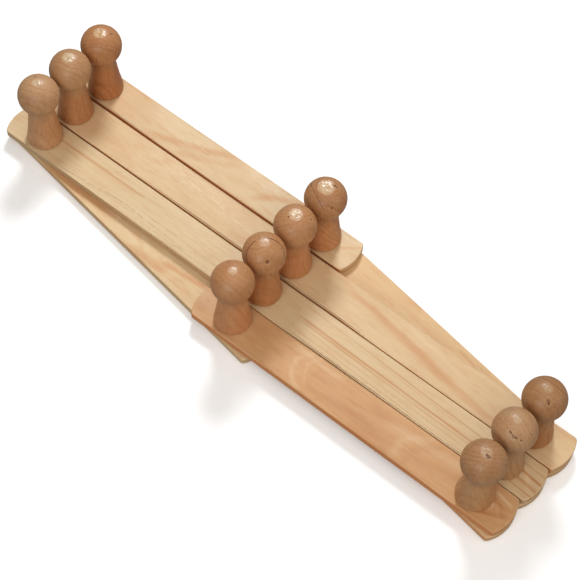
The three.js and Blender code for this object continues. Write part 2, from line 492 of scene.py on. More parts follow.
def screw_template():
    p = [(0.0, 0.4)]
    for i in range(1, 9):  # low domed crown
        a = i / 8
        p.append((2.9 * a, 0.4 + 0.16 * a * a))
    for i in range(1, 9):
        a = math.pi / 2 * i / 8
        p.append((2.9 + 1.1 * math.sin(a), 0.56 + 0.85 * (1 - math.cos(a))))
    p += [(4.0, 1.7), (3.96, 1.92), (3.85, 2.0), (2.6, 2.0), (2.2, 2.08), (2.0, 2.35)]
    head = p[:]
    segs = 48
    # shank, thread and point as one skin
    pitch, root, crest = 1.9, 1.45, 2.15
    z0, zt = 2.35, 27.0
    zs = np.linspace(z0, zt, 150)
    for z in zs[1:]:
        head.append((1.0, z))
    start, taper = 8.5, 21.5

    def twist(a, k, r, z):
        if k < len(p):
            return r, z
        if z < start - 1.2:
            return 2.0, z
        fade = min(1.0, (z - (start - 1.2)) / 1.6)
        body_r = 2.0 + (root - 2.0) * fade
        if z > taper:
            body_r *= max(0.06, 1 - (z - taper) / (zt - taper + 0.3))
        ph = (z / pitch - a / (2 * math.pi)) % 1.0
        ridge = max(0.0, 1 - abs(ph - 0.5) / 0.22)
        rim = body_r + (crest - root) * ridge * fade * (1.0 if z < taper else max(0.0, 1 - (z - taper) / (zt - taper)) ** 0.6)
        return min(rim, 2.15), z

    head.append((0.0, zt + 0.15))
    verts, faces = lathe(head, segs, twist)
    ob = make_object("screw_template", verts, faces)
    cut = cross_cutter()
    scene.collection.objects.link(cut)
    cut.scale = (MM, MM, MM)
    cut.location = (0, 0, 0.4 * MM)
    bpy.context.view_layer.update()
    ob.scale = (1, 1, 1)
    mod = ob.modifiers.new("recess", "BOOLEAN")
    mod.operation = "DIFFERENCE"
    mod.solver = "EXACT"
    mod.use_self = True
    mod.object = cut
    dg = bpy.context.evaluated_depsgraph_get()
    me = bpy.data.meshes.new_from_object(ob.evaluated_get(dg))
    bpy.data.objects.remove(cut)
    bpy.data.objects.remove(ob)
    me.name = "screw"
    me.polygons.foreach_set("use_smooth", [True] * len(me.polygons))
    me.set_sharp_from_angle(angle=math.radians(32))
    return me


def washer_template():
    z0, z1, r0, r1, e = 2.3, 3.1, 2.4, 5.5, 0.18
    p = []
    for cx, cz, a in ((r1 - e, z0 + e, -90), (r1 - e, z1 - e, 0), (r0 + e, z1 - e, 90), (r0 + e, z0 + e, 180)):
        for i in range(5):
            b = math.radians(a + 90 * i / 4)
            p.append((cx + e * math.cos(b), cz + e * math.sin(b)))
    p.append(p[0])
    verts, faces = lathe(p, 72)
    ob = make_object("washer_template", verts, faces)
    me = ob.data.copy()
    bpy.data.objects.remove(ob)
    return me


def placed(name, mesh, body, node, turn):
    me = mesh.copy()
    me.name = name
    ob = bpy.data.objects.new(name, me)
    scene.collection.objects.link(ob)
    c = centre(node)
    ob.matrix_world = Matrix.Translation((c.x, c.y, 0)) @ Matrix.Rotation(turn, 4, "Z")
    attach(ob, body)
    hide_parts(node)
    return ob


# ------------------------------------------------------------------ materials
def srgb(h):
    v = [int(h[i : i + 2], 16) / 255 for i in (0, 2, 4)]
    return tuple(c / 12.92 if c <= 0.04045 else ((c + 0.055) / 1.055) ** 2.4 for c in v) + (1.0,)


class Net:
    """Small helper for building node trees."""

    def __init__(self, name):
        self.mat = bpy.data.materials.new(name)
        self.mat.use_nodes = True
        self.nt = self.mat.node_tree
        self.nt.nodes.clear()
        self.out = self.nt.nodes.new("ShaderNodeOutputMaterial")
        self.bsdf = self.nt.nodes.new("ShaderNodeBsdfPrincipled")
        self.nt.links.new(self.bsdf.outputs[0], self.out.inputs[0])
        self.coord = self.nt.nodes.new("ShaderNodeTexCoord").outputs["Object"]

    def put(self, socket, value):
        if isinstance(value, bpy.types.NodeSocket):
            self.nt.links.new(value, socket)
        elif value is not None:
            socket.default_value = value

    def math(self, op, a, b=None, c=None, clamp=False):
        n = self.nt.nodes.new("ShaderNodeMath")
        n.operation = op
        n.use_clamp = clamp
        self.put(n.inputs[0], a)
        self.put(n.inputs[1], b)
        if c is not None:
            self.put(n.inputs[2], c)
        return n.outputs[0]

    def vec(self, op, a, b=None, scale=None):
        n = self.nt.nodes.new("ShaderNodeVectorMath")
        n.operation = op
        self.put(n.inputs[0], a)
        if b is not None:
            self.put(n.inputs[1], b)
        if scale is not None:
            self.put(n.inputs["Scale"], scale)
        return n.outputs["Value" if op in ("LENGTH", "DISTANCE", "DOT_PRODUCT") else "Vector"]

    def split(self, v):
        n = self.nt.nodes.new("ShaderNodeSeparateXYZ")
        self.put(n.inputs[0], v)
        return n.outputs

    def join(self, x, y, z):
        n = self.nt.nodes.new("ShaderNodeCombineXYZ")
        for i, s in enumerate((x, y, z)):
            self.put(n.inputs[i], s)
        return n.outputs[0]

    def noise(self, vector, scale=1.0, detail=2.0, rough=0.5, distortion=0.0, colour=False):
        n = self.nt.nodes.new("ShaderNodeTexNoise")
        self.put(n.inputs["Vector"], vector)
        n.inputs["Scale"].default_value = scale
        n.inputs["Detail"].default_value = detail
        n.inputs["Roughness"].default_value = rough
        n.inputs["Distortion"].default_value = distortion
        return n.outputs["Color" if colour else "Fac"]

    def voronoi(self, vector, scale=1.0, randomness=1.0):
        n = self.nt.nodes.new("ShaderNodeTexVoronoi")
        self.put(n.inputs["Vector"], vector)
        n.inputs["Scale"].default_value = scale
        n.inputs["Randomness"].default_value = randomness
        return n.outputs["Distance"]

    def step(self, value, lo, hi, to_lo=0.0, to_hi=1.0, smooth=True):
        n = self.nt.nodes.new("ShaderNodeMapRange")
        n.interpolation_type = "SMOOTHSTEP" if smooth else "LINEAR"
        self.put(n.inputs[0], value)
        n.inputs[1].default_value = lo
        n.inputs[2].default_value = hi
        n.inputs[3].default_value = to_lo
        n.inputs[4].default_value = to_hi
        return n.outputs[0]

    def ramp(self, fac, stops):
        n = self.nt.nodes.new("ShaderNodeValToRGB")
        self.put(n.inputs[0], fac)
        e = n.color_ramp.elements
        while len(e) < len(stops):
            e.new(0.5)
        for i, (pos, col) in enumerate(stops):
            e[i].position = pos
            e[i].color = col if not isinstance(col, (int, float)) else (col, col, col, 1)
        return n.outputs[0]

    def mix(self, fac, a, b, blend="MIX"):
        n = self.nt.nodes.new("ShaderNodeMix")
        n.data_type = "RGBA"
        n.blend_type = blend
        self.put(n.inputs[0], fac)
        self.put(n.inputs[6], a)
        self.put(n.inputs[7], b)
        return n.outputs[2]

    def attribute(self, name):
        n = self.nt.nodes.new("ShaderNodeAttribute")
        n.attribute_name = name
        return n.outputs["Fac"]

    def bump(self, height, strength, distance, normal=None):
        n = self.nt.nodes.new("ShaderNodeBump")
        n.inputs["Strength"].default_value = strength
        n.inputs["Distance"].default_value = distance
        self.put(n.inputs["Height"], height)
        if normal is not None:
            self.put(n.inputs["Normal"], normal)
        return n.outputs[0]


def scaled(net, v, sx, sy, sz, offset=(0, 0, 0)):
    n = net.nt.nodes.new("ShaderNodeMapping")
    net.put(n.inputs["Vector"], v)
    n.inputs["Scale"].default_value = (sx, sy, sz)
    n.inputs["Location"].default_value = offset
    return n.outputs[0]


def slat_wood(
    name,
    light,
    dark,
    tint,
    seed,
    gain=(1.0, 1.0, 1.0),
    ring_c=(60.0, -20.0),
    ring_tilt=(0.0, 0.0),
    spacing=6.0,
    ring=0.2,
    ring_width=0.35,
    warp=1.5,
    bands=(),
    lines=(),
    dashes=(),
    arcs=(),
    flecks=(),
    mottle=0.35,
    fibre=0.5,
    speck=0.3,
    rough=0.50,
    wall_colour_and_gap_shade="cf7c42",
):
    """Procedural board. Object space, +Y along the board, all places in mm.
    bands: soft tinted flames, and on some boards painted shade (x0, y0, x1, y1, soft side -, soft side +, gain); a
    negative gain
    is a pale one. lines: narrow growth lines (x0, y0, x1, y1, half width, gain).
    dashes are the same as lines, broken and darker. arcs: pale or tinted swirls (cx, cy, radius, half width, lowest
    y, gain).
    flecks: where short pale silky flecks lie (x, y, reach across, reach along, gain).
    wall: colour that the sawn sides lean to; the dark orange default is a painted shade of the narrow gaps between
    slats."""
    s = Net(name)
    o = seed * 7.31
    P = s.coord
    M = s.vec("SCALE", P, scale=1000.0)  # millimetres
    # slow drift of the grain along the board
    drift = s.noise(scaled(s, M, 0.026, 0.0032, 0.026, (o, 0, 0)), 1.0, 2.0, 0.5, colour=True)
    drift = s.vec("SUBTRACT", drift, (0.5, 0.5, 0.5))
    W = s.vec("ADD", M, s.vec("MULTIPLY", drift, (warp * 2.2, 0.0, warp * 2.2)))
    fine = s.noise(scaled(s, M, 0.12, 0.012, 0.12, (o, 3, 0)), 1.0, 2.0, 0.5, colour=True)
    fine = s.vec("SUBTRACT", fine, (0.5, 0.5, 0.5))
    W = s.vec("ADD", W, s.vec("MULTIPLY", fine, (0.9, 0.0, 0.9)))
    x, y, z = s.split(W)

    # growth rings
    rx = s.math("SUBTRACT", s.math("SUBTRACT", x, ring_c[0]), s.math("MULTIPLY", y, ring_tilt[0]))
    rz = s.math("SUBTRACT", s.math("SUBTRACT", z, ring_c[1]), s.math("MULTIPLY", y, ring_tilt[1]))
    rad = s.math("SQRT", s.math("ADD", s.math("MULTIPLY", rx, rx), s.math("MULTIPLY", rz, rz)))
    ph = s.math("DIVIDE", rad, spacing)
    uneven = s.noise(s.join(s.math("MULTIPLY", ph, 0.35), o, 0.0), 1.0, 1.0)
    ph = s.math("ADD", ph, s.math("MULTIPLY", uneven, 2.4))
    saw = s.math("FRACT", ph)
    late = s.ramp(saw, [(0.0, 0.0), (max(0.02, 1 - ring_width * 1.9), 0.05), (1 - ring_width * 0.5, 0.75), (0.94, 1.0), (1.0, 0.0)])
    year = s.noise(s.join(s.math("FLOOR", ph), o + 11.0, 0.0), 3.7, 0.0)
    late = s.math("MULTIPLY", late, s.step(year, 0.3, 0.7, 0.25, 1.0))
    patchy = s.noise(scaled(s, M, 0.03, 0.007, 0.03, (o, 9, 2)), 1.0, 2.0)
    late = s.math("MULTIPLY", late, s.step(patchy, 0.3, 0.65, 0.35, 1.0))
    col = s.mix(s.math("MULTIPLY", late, ring), light, dark)

    # slow colour drift, then a mottle that is finer and silkier
    mott = s.noise(scaled(s, W, 0.034, 0.011, 0.034, (o, 0, 5)), 1.0, 3.0, 0.55, 0.4)
    col = s.mix(s.math("MULTIPLY", s.step(mott, 0.42, 0.72), mottle), col, tint)
    silk = s.noise(scaled(s, W, 0.55, 0.035, 0.55, (o, 4, 1)), 1.0, 3.0, 0.55)
    blush = s.noise(scaled(s, W, 0.28, 0.06, 0.28, (o, 6, 2)), 1.0, 4.0, 0.65)
    col = s.mix(s.step(blush, 0.45, 0.75, 0.0, 0.42), col, tint)

    # shared noises for the drawn figure
    wob = s.math("SUBTRACT", s.noise(scaled(s, M, 0.07, 0.018, 0.07, (o, 1, 0)), 1.0, 3.0, 0.6), 0.5)
    streak = s.noise(scaled(s, W, 0.9, 0.022, 0.9, (o, 2, 0)), 1.0, 2.0)
    vary = s.noise(scaled(s, M, 0.2, 0.012, 0.2, (o, 7, 0)), 1.0, 1.0)

    def along(y0, y1, x0, x1):
        slope = (x1 - x0) / (y1 - y0)
        f = s.math("SUBTRACT", x, s.math("MULTIPLY_ADD", y, slope, x0 - slope * y0))
        lo, hi = min(y0, y1), max(y0, y1)
        q = s.math("ABSOLUTE", s.math("SUBTRACT", y, (lo + hi) / 2))
        return f, q, (hi - lo) / 2

    for k, (x0, y0, x1, y1, sm, sp, g) in enumerate(bands):
        f, q, reach = along(y0, y1, x0, x1)
        f = s.math("MULTIPLY_ADD", wob, (sm + sp) * 0.9, f)
        m = s.math("MULTIPLY", s.step(f, -sm, 0.0), s.step(f, 0.0, sp, 1.0, 0.0))
        m = s.math("MULTIPLY", m, s.step(q, reach * 0.55, reach, 1.0, 0.0))
        m = s.math("MULTIPLY", m, s.step(streak, 0.2, 0.75, 0.62, 1.0))
        col = s.mix(s.math("MULTIPLY", m, abs(g)), col, tint if g > 0 else srgb("ecd6b2"))

    for k, (cx, cy, r, half, ylow, g) in enumerate(arcs):
        dx = s.math("SUBTRACT", x, cx)
        dy = s.math("SUBTRACT", y, cy)
        dist = s.math("SQRT", s.math("ADD", s.math("MULTIPLY", dx, dx), s.math("MULTIPLY", dy, dy)))
        dd = s.math("ABSOLUTE", s.math("MULTIPLY_ADD", wob, half * 2.2 + 6.0, s.math("SUBTRACT", dist, r)))
        m = s.step(dd, 0.0, half, 1.0, 0.0)
        m = s.math("MULTIPLY", m, s.step(y, ylow, ylow + 6.0))
        m = s.math("MULTIPLY", m, s.step(vary, 0.25, 0.6, 0.35, 1.0))
        col = s.mix(s.math("MULTIPLY", m, abs(g)), col, tint if g > 0 else srgb("e6c9a2"))

    relief = s.math("MULTIPLY", late, 0.4)
    total = None
    for k, (x0, y0, x1, y1, half, g) in enumerate(lines):
        f, q, reach = along(y0, y1, x0, x1)
        dd = s.math("ABSOLUTE", f)
        m = s.step(dd, half * 0.1, half, 1.0, 0.0)
        m = s.math("MULTIPLY", m, s.step(q, reach * 0.85, reach, 1.0, 0.0))
        m = s.math("MULTIPLY", m, g)
        total = m if total is None else s.math("MAXIMUM", total, m)
    if total is not None:
        total = s.math("MULTIPLY", total, s.step(vary, 0.2, 0.6, 0.55, 1.0))
        total = s.math("MULTIPLY", total, s.step(streak, 0.2, 0.6, 0.7, 1.0))
        col = s.mix(total, col, dark)
        relief = s.math("MULTIPLY_ADD", total, 0.5, relief)

    # broken lines of resin pores
    if dashes:
        dash = s.noise(scaled(s, M, 0.5, 0.22, 0.5, (o, 9, 9)), 1.0, 3.0, 0.7)
        total = None
        for k, (x0, y0, x1, y1, half, g) in enumerate(dashes):
            f, q, reach = along(y0, y1, x0, x1)
            m = s.step(s.math("ABSOLUTE", s.math("MULTIPLY_ADD", wob, 1.2, f)), half * 0.2, half, 1.0, 0.0)
            m = s.math("MULTIPLY", m, s.step(q, reach * 0.8, reach, 1.0, 0.0))
            m = s.math("MULTIPLY", m, g)
            total = m if total is None else s.math("MAXIMUM", total, m)
        total = s.math("MULTIPLY", total, s.step(dash, 0.40, 0.56))
        col = s.mix(s.math("MULTIPLY", total, 0.72), col, srgb("866440"))

    # fibres: hair-thin streaks, then broader silky ones
    hair = s.noise(scaled(s, W, 2.4, 0.034, 2.4, (o, 0, 1)), 1.0, 3.0, 0.6)
    col = s.mix(s.math("MULTIPLY", s.step(hair, 0.38, 0.72), 0.16 * fibre), col, s.mix(0.5, dark, srgb("7a4a26")))
    col = s.mix(s.math("MULTIPLY", s.step(silk, 0.35, 0.7), 0.28 * fibre), col, s.mix(0.35, light, srgb("ead3ad")))

    # short dark flecks along the grain
    fl = s.noise(scaled(s, W, 1.5, 0.12, 1.5, (o, 8, 1)), 1.0, 2.0, 0.6)
    where = s.noise(scaled(s, M, 0.045, 0.018, 0.045, (o, 5, 5)), 1.0, 2.0)
    fl = s.math("MULTIPLY", s.step(fl, 0.64, 0.74), s.step(where, 0.5, 0.68))
    col = s.mix(s.math("MULTIPLY", fl, speck), col, srgb("8c6238"))

    # pale silky flecks, in patches
    if flecks:
        pl = s.noise(scaled(s, W, 0.85, 0.11, 0.85, (o, 2, 7)), 1.0, 4.0, 0.7)
        pl = s.step(pl, 0.46, 0.68)
        for fx, fy, ax, ay, g in flecks:
            ux = s.math("DIVIDE", s.math("SUBTRACT", x, fx), ax)
            uy = s.math("DIVIDE", s.math("SUBTRACT", y, fy), ay)
            d2 = s.math("ADD", s.math("MULTIPLY", ux, ux), s.math("MULTIPLY", uy, uy))
            m = s.math("MULTIPLY", pl, s.step(d2, 0.2, 1.0, 1.0, 0.0))
            col = s.mix(s.math("MULTIPLY", m, g), col, srgb("eddbbd"))

    # sawn sides lean to the wall colour, by default a painted shade of the gaps between slats; end grain soaks up
    # the finish; rounded edges are rubbed paler, partly a painted highlight
    side = s.attribute("side")
    kerf = s.noise(scaled(s, M, 0.2, 0.9, 0.35, (o, 3, 3)), 1.0, 2.0)
    # painted shade: side walls are pulled towards the wall colour, darker and redder like the shade inside the gaps
    # between slats
    col = s.mix(s.math("MULTIPLY", side, s.step(kerf, 0.3, 0.7, 0.55, 0.72)), col, srgb(wall_colour_and_gap_shade))
    eg = s.attribute("endgrain")
    dots = s.noise(scaled(s, M, 3.2, 0.3, 3.2, (o, 0, 0)), 1.0, 2.0)
    col = s.mix(s.math("MULTIPLY", eg, s.step(dots, 0.3, 0.75, 0.12, 0.42)), col, s.mix(0.35, dark, srgb("8c5a30")))
    ed = s.attribute("edge")
    edge_wear_and_highlight = s.noise(scaled(s, M, 0.12, 0.03, 0.12, (o, 6, 6)), 1.0, 3.0, 0.6)
    # partly painted highlight: rounded edges are lightened in patches, as rubbed wood and as light caught along
    # them
    col = s.mix(s.math("MULTIPLY", s.math("MULTIPLY", ed, s.step(edge_wear_and_highlight, 0.42, 0.62)), 0.22), col, srgb("ead2a8"))

    col = s.mix(1.0, col, (gain[0], gain[1], gain[2], 1.0), "MULTIPLY")
    s.put(s.bsdf.inputs["Base Color"], col)
    smudge = s.noise(scaled(s, M, 0.07, 0.025, 0.07, (o, 1, 4)), 1.0, 3.0, 0.6)
    rg = s.math("ADD", s.step(smudge, 0.3, 0.7, rough - 0.06, rough + 0.07, smooth=False), s.math("MULTIPLY", hair, 0.10))
    rg = s.math("ADD", rg, s.math("MULTIPLY", eg, 0.15))
    s.put(s.bsdf.inputs["Roughness"], s.math("MULTIPLY_ADD", side, 0.08, rg))
    h = s.math("ADD", s.math("MULTIPLY", hair, 0.5), s.math("MULTIPLY", relief, 0.35))
    h = s.math("SUBTRACT", h, s.math("MULTIPLY", fl, 0.6))
    h = s.math("MULTIPLY_ADD", silk, 0.35, h)
    h = s.math("MULTIPLY_ADD", s.math("MULTIPLY", side, kerf), 0.6, h)
    s.put(s.bsdf.inputs["Normal"], s.bump(h, 0.26, 0.00020))
    s.bsdf.inputs["IOR"].default_value = 1.42
    s.bsdf.inputs["Coat Weight"].default_value = 0.05
    s.bsdf.inputs["Coat Roughness"].default_value = 0.35
    return s.mat


def peg_wood(name, seed, light, dark, tint, gain=(1.0, 1.0, 1.0), tilt=(0.12, 0.05), spacing=3.5, off=30.0, ring=0.35, plane_line=None, crown_burnish_and_highlight=0.3, whorl=0.0, stem=(1.0, 1.0, 1.0), rough=0.46):
    """Turned wood: nearly flat growth layers running up the peg, fibres along it, pores, a
    burnished crown paled partly as a painted highlight, and dark torn pits. shine is how burnished
    the crown is and how strong its painted highlight, whorl how clearly the growth layers show, stem a painted
    light and shade multiplier below the ball."""
    s = Net(name)
    o = 50 + seed * 5.17
    P = s.coord
    M = s.vec("SCALE", P, scale=1000.0)
    drift = s.noise(scaled(s, M, 0.06, 0.06, 0.018, (o, 0, 0)), 1.0, 2.0, 0.5, colour=True)
    drift = s.vec("SUBTRACT", drift, (0.5, 0.5, 0.5))
    W = s.vec("ADD", M, s.vec("MULTIPLY", drift, (4.5, 4.5, 0.0)))
    x, y, z = s.split(W)
    rx = s.math("ADD", s.math("SUBTRACT", x, off), s.math("MULTIPLY", z, tilt[0]))
    ry = s.math("ADD", s.math("SUBTRACT", y, off * 0.4), s.math("MULTIPLY", z, tilt[1]))
    rad = s.math("SQRT", s.math("ADD", s.math("MULTIPLY", rx, rx), s.math("MULTIPLY", ry, ry)))
    ph = s.math("DIVIDE", rad, spacing)
    uneven = s.noise(s.join(s.math("MULTIPLY", ph, 0.4), o, 0.0), 1.0, 1.0)
    ph = s.math("ADD", ph, s.math("MULTIPLY", uneven, 2.0))
    saw = s.math("FRACT", ph)
    late = s.ramp(saw, [(0.0, 0.0), (0.5, 0.05), (0.82, 0.75), (0.92, 1.0), (1.0, 0.0)])
    year = s.noise(s.join(s.math("FLOOR", ph), o + 3.0, 0.0), 3.7, 0.0)
    late = s.math("MULTIPLY", late, s.step(year, 0.3, 0.7, 0.25, 1.0))
    col = s.mix(s.math("MULTIPLY", late, ring + whorl), light, dark)
    mott = s.noise(scaled(s, W, 0.07, 0.07, 0.03, (o, 0, 5)), 1.0, 2.0, 0.5, 0.3)
    col = s.mix(s.math("MULTIPLY", s.step(mott, 0.4, 0.7), 0.36), col, tint)
    hair = s.noise(scaled(s, W, 1.7, 1.7, 0.09, (o, 0, 1)), 1.0, 3.0, 0.6)
    col = s.mix(s.math("MULTIPLY", s.step(hair, 0.4, 0.75), 0.22), col, srgb("6a3517"))
    silk = s.noise(scaled(s, W, 0.7, 0.7, 0.08, (o, 7, 1)), 1.0, 2.0, 0.5)
    col = s.mix(s.math("MULTIPLY", s.step(silk, 0.45, 0.72), 0.20), col, srgb("dcae7c"))
    grainy = s.noise(scaled(s, M, 1.5, 1.5, 0.9, (o, 4, 1)), 1.0, 2.0, 0.6)
    col = s.mix(s.math("MULTIPLY", s.step(grainy, 0.35, 0.7), 0.08), col, srgb("f0cf9f"))
    pore = s.noise(scaled(s, W, 1.3, 1.3, 0.21, (o, 8, 1)), 1.0, 2.0, 0.6)
    where = s.noise(scaled(s, M, 0.09, 0.09, 0.04, (o, 5, 5)), 1.0, 2.0)
    pore = s.math("MULTIPLY", s.step(pore, 0.63, 0.72), s.step(where, 0.42, 0.62))
    col = s.mix(s.math("MULTIPLY", pore, 0.26), col, srgb("54290f"))
    # fine rings left by the turning tool
    zz = s.split(M)[2]
    tool = s.noise(s.join(0.0, o, s.math("MULTIPLY", zz, 2.6)), 1.0, 1.0)
    relief = s.math("MULTIPLY", tool, 0.08)
    if plane_line:
        nrm, dist, half, g, zlow = plane_line
        q = s.vec("DOT_PRODUCT", M, nrm)
        m = s.step(s.math("ABSOLUTE", s.math("SUBTRACT", q, dist)), half * 0.3, half, 1.0, 0.0)
        m = s.math("MULTIPLY", m, s.step(zz, zlow, zlow + 4.0))
        br = s.noise(scaled(s, M, 0.16, 0.16, 0.16, (o, 1, 1)), 1.0, 2.0)
        m = s.math("MULTIPLY", m, s.step(br, 0.36, 0.5, 0.25, 1.0))
        col = s.mix(s.math("MULTIPLY", m, g), col, srgb("532a10"))
        relief = s.math("SUBTRACT", relief, s.math("MULTIPLY", m, 0.8))
    # the flat at the pole is compressed end grain: closed and shiny, with torn specks, and a paler patch that is
    # partly a painted highlight
    crown = s.attribute("crown")
    cap = s.step(crown, 0.08, 0.45)
    patch = s.noise(scaled(s, M, 0.45, 0.45, 0.45, (o, 2, 9)), 1.0, 3.0, 0.6)
    crown_gloss_and_painted_highlight = s.math("MULTIPLY", cap, s.step(patch, 0.35, 0.6, 0.45, 1.0))
    # partly a painted highlight: the crown patch is mixed towards pale cream
    col = s.mix(s.math("MULTIPLY", crown_gloss_and_painted_highlight, 0.62 * crown_burnish_and_highlight), col, srgb("ecd5b0"))
    speck = s.math("MULTIPLY", cap, s.step(patch, 0.60, 0.68))
    col = s.mix(s.math("MULTIPLY", speck, 0.6 * min(1.0, crown_burnish_and_highlight * 1.6)), col, srgb("5f3517"))
    pit = s.attribute("pit")
    torn = s.noise(scaled(s, M, 0.9, 0.9, 0.9, (o, 2, 2)), 1.0, 2.0)
    halo = s.math("MULTIPLY", s.step(pit, 0.02, 0.2), s.step(pit, 0.2, 0.4, 1.0, 0.0))
    col = s.mix(s.math("MULTIPLY", halo, 0.22), col, srgb("d9b282"))
    dark_pit = s.math("MULTIPLY", s.step(pit, 0.22, 0.8), s.step(torn, 0.3, 0.6, 0.55, 1.0))
    col = s.mix(s.math("MULTIPLY", dark_pit, 0.88), col, srgb("5c290b"))
    # painted light and shade: below the ball the colour is multiplied per peg, brighter where a stem faces the
    # light, darker and redder where it is shaded
    low = s.step(zz, 26.0, 36.0, 1.0, 0.0)
    col = s.mix(low, col, (stem[0], stem[1], stem[2], 1.0), "MULTIPLY")
    col = s.mix(1.0, col, (gain[0], gain[1], gain[2], 1.0), "MULTIPLY")
    s.put(s.bsdf.inputs["Base Color"], col)
    smudge = s.noise(scaled(s, M, 0.14, 0.14, 0.09, (o, 1, 4)), 1.0, 3.0, 0.6)
    rg = s.step(smudge, 0.3, 0.7, rough - 0.06, rough + 0.08, smooth=False)
    rg = s.math("ADD", rg, s.math("MULTIPLY", hair, 0.08))
    rg = s.math("ADD", rg, s.math("MULTIPLY", dark_pit, 0.25))
    rg = s.math("SUBTRACT", rg, s.math("MULTIPLY", crown_gloss_and_painted_highlight, 0.16 * (0.4 + crown_burnish_and_highlight)))
    s.put(s.bsdf.inputs["Roughness"], rg)
    h = s.math("ADD", s.math("MULTIPLY", hair, 0.4), relief)
    h = s.math("ADD", h, s.math("MULTIPLY", late, 0.2))
    h = s.math("SUBTRACT", h, s.math("MULTIPLY", pore, 0.7))
    h = s.math("MULTIPLY_ADD", s.math("MULTIPLY", cap, patch), 0.8 * crown_burnish_and_highlight, h)
    s.put(s.bsdf.inputs["Normal"], s.bump(h, 0.26, 0.00018))
    s.bsdf.inputs["IOR"].default_value = 1.42
    s.bsdf.inputs["Coat Weight"].default_value = 0.18
    s.bsdf.inputs["Coat Roughness"].default_value = 0.20
    return s.mat


def zinc(name, seed, base, tint):
    s = Net(name)
    o = seed * 3.1
    P = s.coord
    n1 = s.noise(scaled(s, P, 600, 600, 600, (o, 0, 0)), 1.0, 3.0, 0.6)
    n2 = s.noise(scaled(s, P, 4000, 700, 4000, (o, 2, 0)), 1.0, 3.0, 0.6)
    sp = s.voronoi(scaled(s, P, 1500, 1500, 1500, (o, 1, 0)), 1.0)
    col = s.mix(s.step(n1, 0.3, 0.7), base, tint)
    col = s.mix(s.math("MULTIPLY", s.step(n1, 0.55, 0.75), 0.35), col, srgb("7d786c"))
    s.put(s.bsdf.inputs["Base Color"], col)
    s.bsdf.inputs["Metallic"].default_value = 1.0
    s.put(s.bsdf.inputs["Roughness"], s.step(n2, 0.25, 0.75, 0.28, 0.5, smooth=False))
    s.put(s.bsdf.inputs["Normal"], s.bump(s.math("ADD", n2, s.math("MULTIPLY", sp, 0.4)), 0.18, 0.00006))
    return s.mat


# ------------------------------------------------------------------ build
slats = {}
for k, (body, (node, pivots)) in enumerate(FRONT.items()):
    slats[body] = slat(body + "_board", body, node, pivots, 11 + k, False)
for k, (body, (node, pivots)) in enumerate(BACK.items()):
    slats[body] = slat(body + "_board", body, node, pivots, 31 + k, True)

